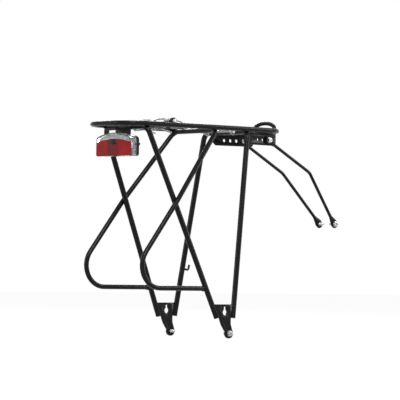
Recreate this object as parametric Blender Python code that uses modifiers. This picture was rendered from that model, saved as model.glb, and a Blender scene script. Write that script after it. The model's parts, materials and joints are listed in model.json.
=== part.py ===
"""Rear rack for a bicycle: tube frame, fitting struts, spring clamp and battery rear light.

X points to the front of the bicycle, Y to its left and Z up. The origin is midway between
the two eyelet bolts at the rear axle. Run with: blender --background --python part.py
"""
import bpy
import bmesh
from math import atan, cos, hypot, pi, radians, sin, sqrt, tan
from mathutils import Matrix, Vector

# Clearances
gap = 0.0003                 # between pieces that touch
slack = 0.0004               # round a pin or a bolt

# Platform
rail_radius = 0.0045
rail_height = 0.375          # centre line of the platform above the eyelets
rail_half_width = 0.065
platform_rear = -0.224
platform_front = 0.152
rear_corner = 0.043
front_corner = 0.050
arch_radius = 0.0038
arch_half_width = 0.0285
arch_rise = 0.0165           # centre line of the arch above the platform's centre line

# Stays
stay_radius = 0.005
stay_bend = 0.014
stay_top_half_width = 0.063
foot_half_width = 0.086
stay_end = 0.028             # lower ends of the stays
rear_cross_x = -0.1758
rear_foot_x = -0.0282
front_cross_x = 0.0571
front_foot_x = 0.0094

# Pannier hoop
hoop_radius = 0.0045
hoop_cross_x = -0.0160
hoop_corner_x = -0.2384      # where the sloping leg and the bottom run would meet
hoop_bottom = 0.0812
hoop_bend = 0.040
hoop_half_width = 0.0845

# Foot plates
plate_thickness = 0.004
plate_top = 0.053
eyelet_boss = 0.009
keyhole_x = -0.0100
keyhole_top = 0.0465
keyhole_bottom = 0.0385
keyhole_small = 0.0030
keyhole_large = 0.0055

# Fasteners
bolt_radius = 0.0025
head_radius = 0.0044
head_height = 0.0034
socket_radius = 0.0021
socket_depth = 0.0020
washer_radius = 0.0052
washer_thickness = 0.0010
nut_radius = 0.0046
nut_height = 0.0040
foot_bolt_length = 0.016
thread_spare = 0.003         # bolt showing beyond its nut

# Strut plates and struts
web_thickness = 0.003
web_height = 0.0220
web_front = 0.1490
web_half_gap = 0.0422        # half the gap between the plates at the first hole
web_taper = 0.1525           # sideways per length, towards the front
web_hole_x = 0.0868
web_hole_pitch = 0.0133
web_holes = 5
web_hole_drop = 0.0170       # holes below the platform's centre line
web_corner = 0.004
web_cut = 0.006              # sloping rear corner
strut_hole = 3               # counted from the rear, from nought
strut_radius = 0.003
eye_radius = 0.0080
eye_thickness = 0.003
strut_bend_point = (0.2298, 0.0375, 0.3009)
strut_end_point = (0.3090, 0.0220, 0.2060)
strut_bend = 0.030
eye_run = 0.018              # from the bolt to where the flattened end is round again
eye_bend = 0.020

# Strap hook on the left front stay
hook_radius = 0.002
hook_height = 0.1158
hook_reach = 0.0140
hook_bend = 0.0035
hook_rise = 0.0100

# Spring clamp
pin_radius = 0.0025
pin_head_radius = 0.0040
pin_head_height = 0.0016
pin_x = -0.104
pin_lift = 0.008             # pin above the platform's centre line
clamp_tube_radius = 0.004
clamp_tube_back = 0.012      # carrying tube behind the pin
frame_radius = 0.00225
frame_half_width = 0.038
frame_front = 0.046
frame_dip = 0.003            # the front bar of the clamp below the platform's centre line
lug_thickness = 0.003
lug_radius = 0.0065
spring_radius = 0.0015
spring_turns = 3

# Rear light
light_half_width = 0.050
light_bottom = 0.317
light_height = 0.042
light_side = 0.034
light_corner = 0.008
base_depth = 0.006
cover_depth = 0.0153
shell_wall = 0.002
pocket_slack = 0.0005        # the base's pocket stands clear of the cover's wall line
lens_thickness = 0.0025
reflector_thickness = 0.002
bracket_thickness = 0.002
bracket_half_width = 0.022
bracket_bottom = 0.322
bracket_top = 0.3725
stud_radius = 0.002
stud_half_gap = 0.014
stud_height = 0.343
battery_radius = 0.00525
battery_length = 0.0445
battery_height = 0.3295
lens_crown = 0.3479          # top of the red field at its middle
lens_rise = 0.0063           # its middle above its sides
led_height = 0.3415
led_radius = 0.0038
board_thickness = 0.0016
button_radius = 0.0018
button_travel = 0.0015
button_stand = 0.0045        # the button's tip beyond the wall
button_height = 0.338

tube_sides = 4               # bevel resolution: 12 sides
wire_sides = 2               # bevel resolution: 8 sides
bend_steps = 6


def start_scene():
    """Clear the scene and return the two collections."""
    for item in list(bpy.data.objects):
        bpy.data.objects.remove(item)
    parts = bpy.data.collections.new("rear_rack")
    cutters = bpy.data.collections.new("cutters")
    for group in (parts, cutters):
        bpy.context.scene.collection.children.link(group)
    return parts, cutters


parts, cutters = start_scene()


def material(name, colour, roughness, metallic=0.0):
    made = bpy.data.materials.new(name)
    made.use_nodes = True
    shader = made.node_tree.nodes["Principled BSDF"]
    shader.inputs["Base Color"].default_value = (*colour, 1.0)
    shader.inputs["Roughness"].default_value = roughness
    shader.inputs["Metallic"].default_value = metallic
    made.diffuse_color = (*colour, 1.0)
    return made


black_paint = material("black_paint", (0.012, 0.012, 0.013), 0.32)
zinc = material("zinc_plate", (0.62, 0.63, 0.65), 0.30, 1.0)
spring_steel = material("spring_steel", (0.45, 0.46, 0.48), 0.28, 1.0)
black_plastic = material("black_plastic", (0.015, 0.015, 0.016), 0.50)
clear_plastic = material("clear_plastic", (0.80, 0.82, 0.82), 0.08)
red_plastic = material("red_plastic", (0.50, 0.010, 0.014), 0.18)
silver_plastic = material("silver_plastic", (0.70, 0.70, 0.72), 0.20, 1.0)
board_green = material("board_green", (0.02, 0.14, 0.06), 0.50)
led_dark = material("led_dark", (0.05, 0.05, 0.04), 0.15)
battery_skin = material("battery_skin", (0.10, 0.12, 0.14), 0.40, 0.4)
black_rubber = material("black_rubber", (0.018, 0.018, 0.018), 0.70)


def mirrored(side, point):
    """The point on the left (+1) or the right (-1) of the rack."""
    return Vector((point[0], side * point[1], point[2]))


def rounded_path(corners, bends, steps=bend_steps):
    """Points of a bent tube: straight runs between corners, an arc at each bend."""
    points = []
    for index, corner in enumerate(corners):
        radius = bends[index]
        if radius == 0:
            points.append(corner.copy())
            continue
        back = (corners[index - 1] - corner).normalized()
        ahead = (corners[(index + 1) % len(corners)] - corner).normalized()
        opening = back.angle(ahead)
        swing = pi - opening
        centre = corner + (back + ahead).normalized() * radius / sin(opening / 2)
        start = corner + back * radius / tan(opening / 2) - centre
        end = corner + ahead * radius / tan(opening / 2) - centre
        for step in range(steps + 1):
            part = step / steps
            mix = start * sin((1 - part) * swing) + end * sin(part * swing)
            points.append(centre + mix / sin(swing))
    return points


def tube(name, points, radius, surface, sides=tube_sides, closed=False):
    """A round tube or wire along the points."""
    curve = bpy.data.curves.new(name, "CURVE")
    curve.dimensions = "3D"
    curve.bevel_depth = radius
    curve.bevel_resolution = sides
    curve.use_fill_caps = True
    spline = curve.splines.new("POLY")
    spline.points.add(len(points) - 1)
    for knot, point in zip(spline.points, points):
        knot.co = (*point, 1.0)
    spline.use_cyclic_u = closed
    made = bpy.data.objects.new(name, curve)
    made.data.materials.append(surface)
    parts.objects.link(made)
    return made


def sheet(name, outlines, thickness, surface, turn=0.0, place=(0, 0, 0)):
    """An upright plate: outlines in (X, Z), the first the edge and the rest holes."""
    curve = bpy.data.curves.new(name, "CURVE")
    curve.dimensions = "2D"
    curve.fill_mode = "BOTH"
    curve.extrude = thickness / 2
    for outline in outlines:
        spline = curve.splines.new("POLY")
        spline.points.add(len(outline) - 1)
        for knot, point in zip(spline.points, outline):
            knot.co = (point[0], point[1], 0.0, 1.0)
        spline.use_cyclic_u = True
    made = bpy.data.objects.new(name, curve)
    made.data.materials.append(surface)
    made.rotation_euler = (pi / 2, 0, turn)
    made.location = place
    parts.objects.link(made)
    return made


def circle(x, y, radius, count=16):
    return [(x + radius * cos(2 * pi * i / count), y + radius * sin(2 * pi * i / count))
            for i in range(count)]


def arc(x, y, radius, start, end, count=8):
    """Points of an arc between two angles in degrees."""
    turns = [radians(start + (end - start) * i / count) for i in range(count + 1)]
    return [(x + radius * cos(turn), y + radius * sin(turn)) for turn in turns]


def turned(name, profile, surface, place, axis, steps=16):
    """A solid of revolution: profile of (radius, height) from axis to axis."""
    if profile[0][1] < profile[-1][1]:
        profile = list(reversed(profile))
    mesh = bpy.data.meshes.new(name)
    mesh.from_pydata([(r, 0, h) for r, h in profile],
                     [(i, i + 1) for i in range(len(profile) - 1)], [])
    made = bpy.data.objects.new(name, mesh)
    made.data.materials.append(surface)
    screw = made.modifiers.new("turn", "SCREW")
    screw.steps = steps
    screw.render_steps = steps
    screw.use_merge_vertices = True
    screw.merge_threshold = 0.00001
    made.rotation_euler = Vector((0, 0, 1)).rotation_difference(Vector(axis)).to_euler()
    made.location = place
    parts.objects.link(made)
    return made


def as_mesh(item):
    """Turn a curve object into a mesh object with its caps welded."""
    bpy.context.view_layer.update()
    seen = item.evaluated_get(bpy.context.evaluated_depsgraph_get())
    mesh = bpy.data.meshes.new_from_object(seen)
    weld = bmesh.new()
    weld.from_mesh(mesh)
    bmesh.ops.remove_doubles(weld, verts=weld.verts, dist=0.00001)
    bmesh.ops.recalc_face_normals(weld, faces=weld.faces)
    weld.to_mesh(mesh)
    weld.free()
    made = bpy.data.objects.new(item.name, mesh)
    made.matrix_world = item.matrix_world.copy()
    name = item.name
    for group in list(item.users_collection):
        group.objects.link(made)
    bpy.data.objects.remove(item)
    made.name = name
    return made


def cut(item, cutter):
    """Take the cutter out of the item."""
    for group in list(cutter.users_collection):
        group.objects.unlink(cutter)
    cutters.objects.link(cutter)
    cutter.hide_render = True
    cutter.display_type = "WIRE"
    knife = item.modifiers.new("cut", "BOOLEAN")
    knife.operation = "DIFFERENCE"
    knife.solver = "EXACT"
    knife.object = cutter


def rod_cutter(name, place, axis, radius, length):
    """A round bar that cuts a hole."""
    profile = [(0, -length / 2), (radius, -length / 2), (radius, length / 2), (0, length / 2)]
    return turned(name, profile, black_paint, place, axis)


# Platform -----------------------------------------------------------------------------

def build_platform():
    rear, front, wide, high = platform_rear, platform_front, rail_half_width, rail_height
    corners = [Vector((rear, wide, high)), Vector((rear, -wide, high)),
               Vector((front, -wide, high)), Vector((front, wide, high))]
    bends = [rear_corner, rear_corner, front_corner, front_corner]
    tube("platform_loop", rounded_path(corners, bends, 8), rail_radius, black_paint,
         closed=True)


def build_arch():
    """The raised luggage stop, with its feet on the curve of the front bar."""
    beyond = max(arch_half_width - (rail_half_width - front_corner), 0)
    place = platform_front - front_corner + sqrt(front_corner ** 2 - beyond ** 2)
    foot = rail_height + rail_radius + gap
    spring = foot + 0.0015
    rise = rail_height + arch_rise - spring
    count = 16
    points = [Vector((place, arch_half_width * cos(pi * i / count),
                      spring + rise * sin(pi * i / count))) for i in range(count + 1)]
    points = [Vector((place, arch_half_width, foot))] + points
    points += [Vector((place, -arch_half_width, foot))]
    tube("luggage_arch", points, arch_radius, black_paint)


# Stays and hoop -----------------------------------------------------------------------

def seat_under_rails(path_at, radius):
    """Height of a cross piece whose bends just meet the rails from below."""
    height = rail_height - radius
    wanted = rail_radius + radius + gap
    for _ in range(30):
        nearest = min(hypot(abs(p.y) - rail_half_width, p.z - rail_height)
                      for p in path_at(height))
        height += (nearest - wanted) * 0.7
    return height


def stay_point(cross_x, foot_x, cross_height, height):
    """Centre of the left leg of a stay at a height."""
    part = (cross_height - height) / (cross_height - stay_end)
    return Vector((cross_x + (foot_x - cross_x) * part,
                   stay_top_half_width + (foot_half_width - stay_top_half_width) * part,
                   height))


def stay_path(cross_x, foot_x):
    """A function that gives the path of a stay for a height of its cross piece."""
    def path_at(height):
        foot = Vector((foot_x, foot_half_width, stay_end))
        top = Vector((cross_x, stay_top_half_width, height))
        corners = [mirrored(-1, foot), mirrored(-1, top), top, foot]
        return rounded_path(corners, [0, stay_bend, stay_bend, 0], 8)
    return path_at


rear_path = stay_path(rear_cross_x, rear_foot_x)
front_path = stay_path(front_cross_x, front_foot_x)
rear_cross_height = seat_under_rails(rear_path, stay_radius)
front_cross_height = seat_under_rails(front_path, stay_radius)


def build_stays():
    tube("rear_stay_tube", rear_path(rear_cross_height), stay_radius, black_paint)
    tube("front_stay_tube", front_path(front_cross_height), stay_radius, black_paint)


def rear_stay_at(height):
    return stay_point(rear_cross_x, rear_foot_x, rear_cross_height, height)


def front_stay_at(height):
    return stay_point(front_cross_x, front_foot_x, front_cross_height, height)


def hoop_crossing():
    """Where the hoop's leg passes outside the rear stay."""
    leg = (hoop_cross_x - hoop_corner_x) / (rail_height - hoop_bottom)
    low, high = hoop_bottom, rail_height
    for _ in range(40):
        height = (low + high) / 2
        hoop_x = hoop_corner_x + leg * (height - hoop_bottom)
        if hoop_x > rear_stay_at(height).x:
            high = height
        else:
            low = height
    spread = hoop_radius + stay_radius + gap
    lean = (foot_half_width - stay_top_half_width) / (rear_cross_height - stay_end)
    point = rear_stay_at(height)
    return point + Vector((0, spread / cos(atan(2 * lean)), 0))


def hoop_path(height):
    """The hoop from its right end over the cross piece to its left end."""
    top = Vector((hoop_cross_x, stay_top_half_width, height))
    crossing = hoop_crossing()
    corner = Vector((hoop_corner_x, hoop_half_width, hoop_bottom))
    stay = rear_stay_at(hoop_bottom)
    lean = (rear_foot_x - rear_cross_x) / (rear_cross_height - stay_end)
    reach = stay_radius * sqrt(1 + lean ** 2) + hoop_radius * lean + gap
    end = Vector((stay.x - reach, stay.y, hoop_bottom))
    left = [top, crossing, corner, end]
    corners = [mirrored(-1, point) for point in reversed(left)] + left
    return rounded_path(corners, [0, hoop_bend, 0.15, stay_bend,
                                  stay_bend, 0.15, hoop_bend, 0], 9)


hoop_cross_height = seat_under_rails(hoop_path, hoop_radius)


def build_hoop():
    tube("pannier_hoop_tube", hoop_path(hoop_cross_height), hoop_radius, black_paint)


# Feet ---------------------------------------------------------------------------------

def keyhole():
    """A slot with a large lower end, as points in (X, Z)."""
    side = sqrt(keyhole_large ** 2 - keyhole_small ** 2)
    dip = 90 - (180 / pi) * atan(keyhole_small / side)
    lower = arc(keyhole_x, keyhole_bottom, keyhole_large, 180 - dip, 360 + dip, 14)
    return lower + arc(keyhole_x, keyhole_top, keyhole_small, 0, 180, 8)


def build_foot_plate(name, side):
    """The plate between the lower ends of the stays, with its leg to the eyelet."""
    def beside(stay_at, height, hand):
        slope = (stay_at(height).x - stay_at(height + 0.01).x) / 0.01
        return stay_at(height).x - hand * (stay_radius * sqrt(1 + slope ** 2) + gap)
    top, low = plate_top, stay_end - 0.001
    edge = [(beside(rear_stay_at, top, -1), top), (beside(rear_stay_at, low, -1), low),
            (-0.0170, 0.0150)]
    edge += arc(0, 0, eyelet_boss, 160, 370, 14)
    edge += [(0.0035, 0.0170), (beside(front_stay_at, low, 1) - 0.0005, low),
             (beside(front_stay_at, top, 1), top)]
    eyelet = circle(0, 0, bolt_radius + slack)
    sheet(name, [edge, keyhole(), eyelet], plate_thickness, black_paint,
          place=(0, side * foot_half_width, 0))


# Fasteners ----------------------------------------------------------------------------

def bolt(name, seat, inward, shank, surface=zinc, radius=bolt_radius, head=head_radius,
         deep=head_height):
    """A socket-head bolt: its head's underside at the seat, its shank inward."""
    profile = [(0, deep - socket_depth), (socket_radius, deep - socket_depth),
               (socket_radius, deep), (head - 0.0006, deep), (head, deep - 0.0006),
               (head, 0), (radius, 0), (radius, -shank), (0, -shank)]
    return turned(name, profile, surface, seat, -Vector(inward))


def washer(name, seat, outward, radius=washer_radius, hole=bolt_radius):
    """A flat washer standing on the seat."""
    return nut(name, seat, outward, radius, washer_thickness, hole, 16)


def nut(name, seat, outward, radius=nut_radius, height=nut_height, hole=bolt_radius,
        edges=6):
    """A hexagon nut, or a washer of many edges, standing on the seat."""
    outward = Vector(outward).normalized()
    rings = [circle(0, 0, radius, edges), circle(0, 0, hole + slack)]
    made = sheet(name, rings, height, zinc)
    made.rotation_euler = Vector((0, 0, 1)).rotation_difference(outward).to_euler()
    made.location = Vector(seat) + outward * height / 2
    return made


def build_feet():
    for side, hand in ((1, "left"), (-1, "right")):
        build_foot_plate("foot_plate_" + hand, side)
        outward = Vector((0, side, 0))
        face = outward * (foot_half_width + plate_thickness / 2 + gap)
        washer("foot_washer_" + hand, face, outward)
        seat = face + outward * (washer_thickness + gap)
        bolt("foot_bolt_" + hand, seat, -outward, foot_bolt_length)


# Strut plates and struts --------------------------------------------------------------

web_turn = atan(web_taper)
web_hole_height = rail_height - web_hole_drop


def web_point(x, side, off=0.0):
    """A point at hole height on a strut plate, off its middle plane outward."""
    half = web_half_gap - web_taper * (x - web_hole_x)
    return Vector((x + off * sin(web_turn), side * (half + off * cos(web_turn)),
                   web_hole_height))


def hole_x(number):
    return web_hole_x + number * web_hole_pitch * cos(web_turn)


def build_strut_plate(name, side):
    start = front_cross_x + stay_radius + 2 * gap
    origin = web_point(web_hole_x, side)
    top = rail_height - rail_radius - gap
    rear = (start - web_hole_x) / cos(web_turn)
    front = (web_front - web_hole_x) / cos(web_turn)
    low = top - web_height
    edge = [(rear, top), (rear, low + web_cut), (rear + web_cut, low)]
    edge += arc(front - web_corner, low + web_corner, web_corner, -90, 0, 4) + [(front, top)]
    holes = [circle(i * web_hole_pitch, web_hole_height, bolt_radius + slack)
             for i in range(web_holes)]
    sheet(name, [edge] + holes, web_thickness, black_paint, turn=-side * web_turn,
          place=(origin.x, origin.y, 0))


def section(centre, across, through, half_width, half_thickness, flat, count=16):
    """A ring of points: a circle at flat 0, a bar with level faces at flat 1."""
    ring = []
    for index in range(count):
        turn = 2 * pi * index / count
        level = sin(turn) * (1 + 0.7 * flat)
        depth = min(max(level, -1), 1) * half_thickness
        ring.append(centre + across * cos(turn) * half_width + through * depth)
    return ring


def loft(name, rings, surface):
    """A closed skin through rings of points."""
    shape = bmesh.new()
    rows = [[shape.verts.new(point) for point in ring] for ring in rings]
    count = len(rows[0])
    for near, far in zip(rows, rows[1:]):
        for i in range(count):
            j = (i + 1) % count
            shape.faces.new((near[i], near[j], far[j], far[i]))
    shape.faces.new(list(reversed(rows[0])))
    shape.faces.new(rows[-1])
    bmesh.ops.recalc_face_normals(shape, faces=shape.faces)
    mesh = bpy.data.meshes.new(name)
    shape.to_mesh(mesh)
    shape.free()
    made = bpy.data.objects.new(name, mesh)
    made.data.materials.append(surface)
    parts.objects.link(made)
    return made


def flat_run(near, far, normal):
    """Direction from one point to another, laid in the plane across the normal."""
    run = (far - near).normalized()
    return (run - normal * run.dot(normal)).normalized()


def strut_rings(start, bend, end, first_normal, last_normal):
    """Sections of a rod whose two ends are pressed flat into round eyes."""
    lift = strut_radius - eye_thickness / 2
    first = flat_run(start, bend, first_normal)
    last = flat_run(bend, end, last_normal)
    tip = start - first * eye_radius
    tail = end + last * eye_radius
    corners = [tip, start + first * eye_run, bend, end - last * eye_run, tail]
    path = rounded_path(corners, [0, eye_bend, strut_bend, eye_bend, 0], 5)
    steps = [0.0006, 0.0025, 0.0050, 0.0080, 0.0120, 0.0150, 0.0180]
    runs = [tip + first * step for step in steps] + path[1:-1]
    runs += [tail - last * step for step in reversed(steps)]
    rings = []
    for index, centre in enumerate(runs):
        before = runs[max(index - 1, 0)]
        after = runs[min(index + 1, len(runs) - 1)]
        ahead = (after - before).normalized()
        from_tip = (centre - tip).length
        from_tail = (centre - tail).length
        normal = first_normal if from_tip < from_tail else last_normal
        along = min(from_tip, from_tail)
        across = normal.cross(ahead).normalized()
        through = ahead.cross(across).normalized()
        flat = min(max((eye_radius + eye_run - along) / (eye_run - 0.004), 0.0), 1.0)
        width = strut_radius + (eye_radius - strut_radius) * flat
        if along < eye_radius:
            width = sqrt(eye_radius ** 2 - (eye_radius - along) ** 2)
        depth = strut_radius - lift * flat
        shift = normal * lift * (1 - flat)
        rings.append(section(centre + shift, across, through, width, depth, flat))
    return rings


def build_strut(name, side):
    """A fitting strut; its eye lies on the outer face of its plate."""
    off = web_thickness / 2 + gap + eye_thickness / 2
    start = web_point(hole_x(strut_hole), side, off)
    normal = Vector((sin(web_turn), side * cos(web_turn), 0))
    outward = Vector((0, side, 0))
    bend = mirrored(side, strut_bend_point)
    end = mirrored(side, strut_end_point)
    made = loft(name, strut_rings(start, bend, end, normal, outward), black_paint)
    hole = bolt_radius + slack
    cut(made, rod_cutter(name + "_top_hole", start, normal, hole, 0.03))
    cut(made, rod_cutter(name + "_end_hole", end, outward, hole, 0.03))
    made.data.transform(Matrix.Translation(-start))
    made.location = start
    return start, end, normal


def build_struts():
    for side, hand in ((1, "left"), (-1, "right")):
        build_strut_plate("strut_plate_" + hand, side)
        start, end, normal = build_strut("strut_" + hand, side)
        face = start + normal * (eye_thickness / 2 + 2 * gap)
        grip = eye_thickness + web_thickness + washer_thickness + 3 * gap
        washer("strut_washer_" + hand, face, normal)
        seat = face + normal * (washer_thickness + gap)
        bolt("strut_bolt_" + hand, seat, -normal, grip + nut_height + thread_spare)
        back = web_point(hole_x(strut_hole), side, -web_thickness / 2 - gap)
        nut("strut_nut_" + hand, back, -normal)
        outward = Vector((0, side, 0))
        face = end + outward * (eye_thickness / 2 + 2 * gap)
        washer("stay_washer_" + hand, face, outward)
        seat = face + outward * (washer_thickness + gap)
        bolt("stay_bolt_" + hand, seat, -outward, foot_bolt_length)


def build_hook():
    """The small strap hook welded to the left front stay."""
    stay = front_stay_at(hook_height)
    start = stay + Vector((stay_radius + gap, 0, 0))
    bend = stay + Vector((hook_reach, 0, -0.002))
    tip = bend + Vector((0.0025, 0, hook_rise))
    points = rounded_path([start, bend, tip], [0, hook_bend, 0], 4)
    tube("strap_hook", points, hook_radius, black_paint, wire_sides)


# Spring clamp -------------------------------------------------------------------------

pin_height = rail_height + pin_lift
clamp_tube_x = pin_x - clamp_tube_back
eye_pitch = 2 * frame_radius + slack
lug_place = frame_half_width + eye_pitch + frame_radius + slack + lug_thickness / 2


def coil(radius, start_turn, turns, y_from, y_to, per_turn=12):
    """Points of a helix about the clamp pin, turning from start_turn (degrees)."""
    count = round(abs(turns) * per_turn)
    points = []
    for index in range(count + 1):
        part = index / count
        turn = radians(start_turn) + 2 * pi * turns * part
        points.append(Vector((pin_x + radius * cos(turn), y_from + (y_to - y_from) * part,
                              pin_height + radius * sin(turn))))
    return points


def build_clamp_mount():
    inner = rail_half_width - rail_radius - gap
    tube("clamp_cross_tube", [Vector((clamp_tube_x, -inner, rail_height)),
                              Vector((clamp_tube_x, inner, rail_height))],
         clamp_tube_radius, black_paint)
    lean = atan(pin_lift / clamp_tube_back) * 180 / pi
    for side, hand in ((1, "left"), (-1, "right")):
        edge = arc(pin_x, pin_height, lug_radius, lean - 90, lean + 90, 10)
        edge += arc(clamp_tube_x, rail_height, lug_radius, lean + 90, lean + 270, 10)
        holes = [circle(pin_x, pin_height, pin_radius + slack),
                 circle(clamp_tube_x, rail_height, clamp_tube_radius + gap)]
        sheet("clamp_lug_" + hand, [edge] + holes, lug_thickness, black_paint,
              place=(0, side * lug_place, 0))
    half = lug_place + lug_thickness / 2 + gap
    tall = half + pin_head_height
    profile = [(0, -tall), (pin_head_radius, -tall), (pin_head_radius, -half), (pin_radius, -half),
               (pin_radius, half), (pin_head_radius, half), (pin_head_radius, tall), (0, tall)]
    turned("clamp_pin", profile, zinc, (pin_x, 0, pin_height), (0, 1, 0))


def clamp_arm(side):
    """One arm of the clamp frame, from the end of its eye to its front bend."""
    eye = pin_radius + slack + frame_radius
    over = hoop_cross_height + hoop_radius + gap + frame_radius
    turn = coil(eye, -90, 1, side * (frame_half_width + eye_pitch), side * frame_half_width)
    shape = [(pin_x + 0.016, over), (hoop_cross_x + 0.006, over),
             (frame_front - 0.030, rail_height - 0.0025),
             (frame_front - 0.015, rail_height - 0.0025),
             (frame_front - 0.001, rail_height - 0.0105)]
    corners = [turn[-1]] + [Vector((x, side * frame_half_width, z)) for x, z in shape]
    corners += [Vector((frame_front, side * frame_half_width, rail_height - frame_dip))]
    corners += [Vector((frame_front, 0, rail_height - frame_dip))]
    bends = [0, 0.010, 0.020, 0.012, 0.005, 0.0025, 0.0035, 0]
    run = rounded_path(corners, bends, 3)
    return turn[:-1] + run[:-1]


def build_clamp_frame():
    left = clamp_arm(1)
    right = clamp_arm(-1)
    made = tube("clamp_frame", left + list(reversed(right)), frame_radius, spring_steel,
                wire_sides)
    hinge = Vector((pin_x, 0, pin_height))
    for knot in made.data.splines[0].points:
        knot.co = (*(knot.co.xyz - hinge), 1.0)
    made.location = hinge


def build_springs():
    """Each spring lies beside its arm and hooks under the carrying tube."""
    mean = pin_radius + slack + spring_radius
    pitch = 2 * spring_radius + slack
    outer = frame_half_width - frame_radius - slack - spring_radius
    inner = outer - pitch * spring_turns
    over = pin_height + mean
    under = rail_height - clamp_tube_radius - spring_radius - gap
    for side, hand in ((1, "left"), (-1, "right")):
        push = [Vector((pin_x + 0.030, side * outer, over - 0.0045)),
                Vector((pin_x + 0.010, side * outer, over - 0.0010))]
        turns = coil(mean, 90, spring_turns, side * outer, side * inner)
        hold = [(clamp_tube_x - 0.006, over - 0.0010), (clamp_tube_x - 0.026, over - 0.0080),
                (clamp_tube_x - 0.024, under - 0.0030), (clamp_tube_x, under),
                (clamp_tube_x + 0.026, under - 0.0060)]
        corners = [turns[-1]] + [Vector((x, side * inner, z)) for x, z in hold]
        leg = rounded_path(corners, [0, 0.012, 0.005, 0.004, 0.020, 0], 3)
        tube("clamp_spring_" + hand, push + turns[:-1] + leg, spring_radius, spring_steel,
             wire_sides)


# Rear light ---------------------------------------------------------------------------

bracket_x = rear_cross_x - stay_radius - gap - bracket_thickness / 2
base_front = bracket_x - bracket_thickness / 2 - gap
base_back = base_front - base_depth
cover_front = base_back - gap
cover_back = cover_front - cover_depth
lens_back = cover_back + shell_wall + gap
lens_front = lens_back + lens_thickness
reflector_back = lens_front + gap


def dome(inset, high=None):
    """Outline of the light in (Y, Z), set in all round."""
    half = light_half_width - inset
    bottom = light_bottom + inset
    side = light_bottom + light_side - inset if high is None else high - lens_rise
    crown = light_bottom + light_height - inset if high is None else high
    corner = max(light_corner - inset, 0.002)
    foot = max(0.004 - inset, 0.001)
    rise = crown - side
    crest = [(half * part, side + rise * (1 - part ** 2)) for part in (0.6, 0.3, 0, -0.3, -0.6)]
    points = [(-half, bottom), (half, bottom), (half, side)] + crest + [(-half, side)]
    bends = [foot, foot, corner, 0, 0, 0, 0, 0, corner]
    flat = rounded_path([Vector((y, z, 0)) for y, z in points], bends, 4)
    return [(point.x, point.y) for point in flat]


def facing(name, outlines, front, depth, surface):
    """A plate facing the rear, its outlines in (Y, Z), from front to front - depth."""
    made = sheet(name, outlines, depth, surface)
    made.rotation_euler = (pi / 2, 0, pi / 2)
    made.location = (front - depth / 2, 0, 0)
    return made


def build_bracket():
    edge = [(-bracket_half_width, bracket_top), (-bracket_half_width, bracket_bottom),
            (bracket_half_width, bracket_bottom), (bracket_half_width, bracket_top)]
    flat = rounded_path([Vector((y, z, 0)) for y, z in edge], [0, 0.004, 0.004, 0], 3)
    outline = [(point.x, point.y) for point in flat]
    holes = [circle(side * stud_half_gap, stud_height, stud_radius + slack)
             for side in (1, -1)]
    facing("light_bracket", [outline] + holes, bracket_x + bracket_thickness / 2,
           bracket_thickness, black_paint)


def build_base():
    made = as_mesh(facing("light_base", [dome(0)], base_front, base_depth, black_plastic))
    made.data.materials.clear()
    made.data.materials.append(black_plastic)
    pocket = facing("light_base_pocket", [dome(shell_wall + pocket_slack)],
                    base_front - shell_wall, base_depth, black_plastic)
    cut(made, as_mesh(pocket))
    for side in (1, -1):
        place = (base_front, side * stud_half_gap, stud_height)
        cut(made, rod_cutter("light_stud_hole", place, (1, 0, 0), stud_radius + slack, 0.02))
    place = (base_front - base_depth / 2, -light_half_width, button_height)
    cut(made, rod_cutter("light_button_hole", place, (0, 1, 0), button_radius + gap, 0.02))


def build_cover():
    made = as_mesh(facing("light_cover", [dome(0)], cover_front, cover_depth, clear_plastic))
    made.data.materials.clear()
    made.data.materials.append(clear_plastic)
    hollow = facing("light_cover_hollow", [dome(shell_wall)], cover_front + 0.001,
                    cover_depth - shell_wall + 0.001, clear_plastic)
    cut(made, as_mesh(hollow))


def build_lens():
    inset = shell_wall + gap
    hole = circle(0, led_height, led_radius + slack)
    facing("light_red_lens", [dome(inset, high=lens_crown), hole], lens_front, lens_thickness,
           red_plastic)
    facing("light_reflector", [dome(inset)], reflector_back + reflector_thickness,
           reflector_thickness, silver_plastic)
    profile = [(0, 0), (led_radius, 0), (led_radius, 0.0010), (led_radius * 0.8, 0.0018),
               (led_radius * 0.4, 0.0023), (0, 0.0025)]
    turned("light_led", profile, led_dark, (reflector_back - gap, 0, led_height),
           (-1, 0, 0))


def build_electrics():
    board_front = reflector_back + reflector_thickness + gap + board_thickness
    board = [(-0.020, 0.3370), (0.020, 0.3370), (0.020, 0.3530), (-0.020, 0.3530)]
    facing("light_board", [board], board_front, board_thickness, board_green)
    place = base_front - shell_wall - gap - battery_radius
    nub = 0.0008
    for side, hand in ((1, "left"), (-1, "right")):
        skin = battery_length - nub - gap
        profile = [(0, 0), (battery_radius, 0), (battery_radius, skin), (0.0020, skin),
                   (0.0020, skin + nub), (0, skin + nub)]
        turned("light_battery_" + hand, profile, battery_skin,
               (place, side * gap, battery_height), (0, side, 0))
        end = battery_length
        wall = light_half_width - shell_wall - pocket_slack - gap
        profile = [(0, 0), (0.0045, 0), (0.0045, 0.0005), (0.0020, 0.0007),
                   (0.0020, wall - end - 2 * gap), (0, wall - end - 2 * gap)]
        turned("battery_contact_" + hand, profile, zinc,
               (place, side * wall, battery_height), (0, -side, 0))


def build_button():
    """A push button in the right wall of the light's base, with its switch inside."""
    place = base_front - base_depth / 2
    outer = light_half_width + button_stand
    inner = light_half_width - shell_wall - 0.0035
    profile = [(0, 0), (button_radius, 0), (button_radius, outer - inner - 0.001),
               (button_radius * 0.6, outer - inner), (0, outer - inner)]
    turned("light_button", profile, black_rubber, (place, -inner, button_height), (0, -1, 0))
    reach = inner - button_travel - gap
    floor = base_front - shell_wall - gap
    shape = [(-reach, button_height - 0.003), (0.004 - reach, button_height - 0.003),
             (0.004 - reach, button_height + 0.003), (-reach, button_height + 0.003)]
    facing("light_switch", [shape], floor, 0.0032, black_plastic)


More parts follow.
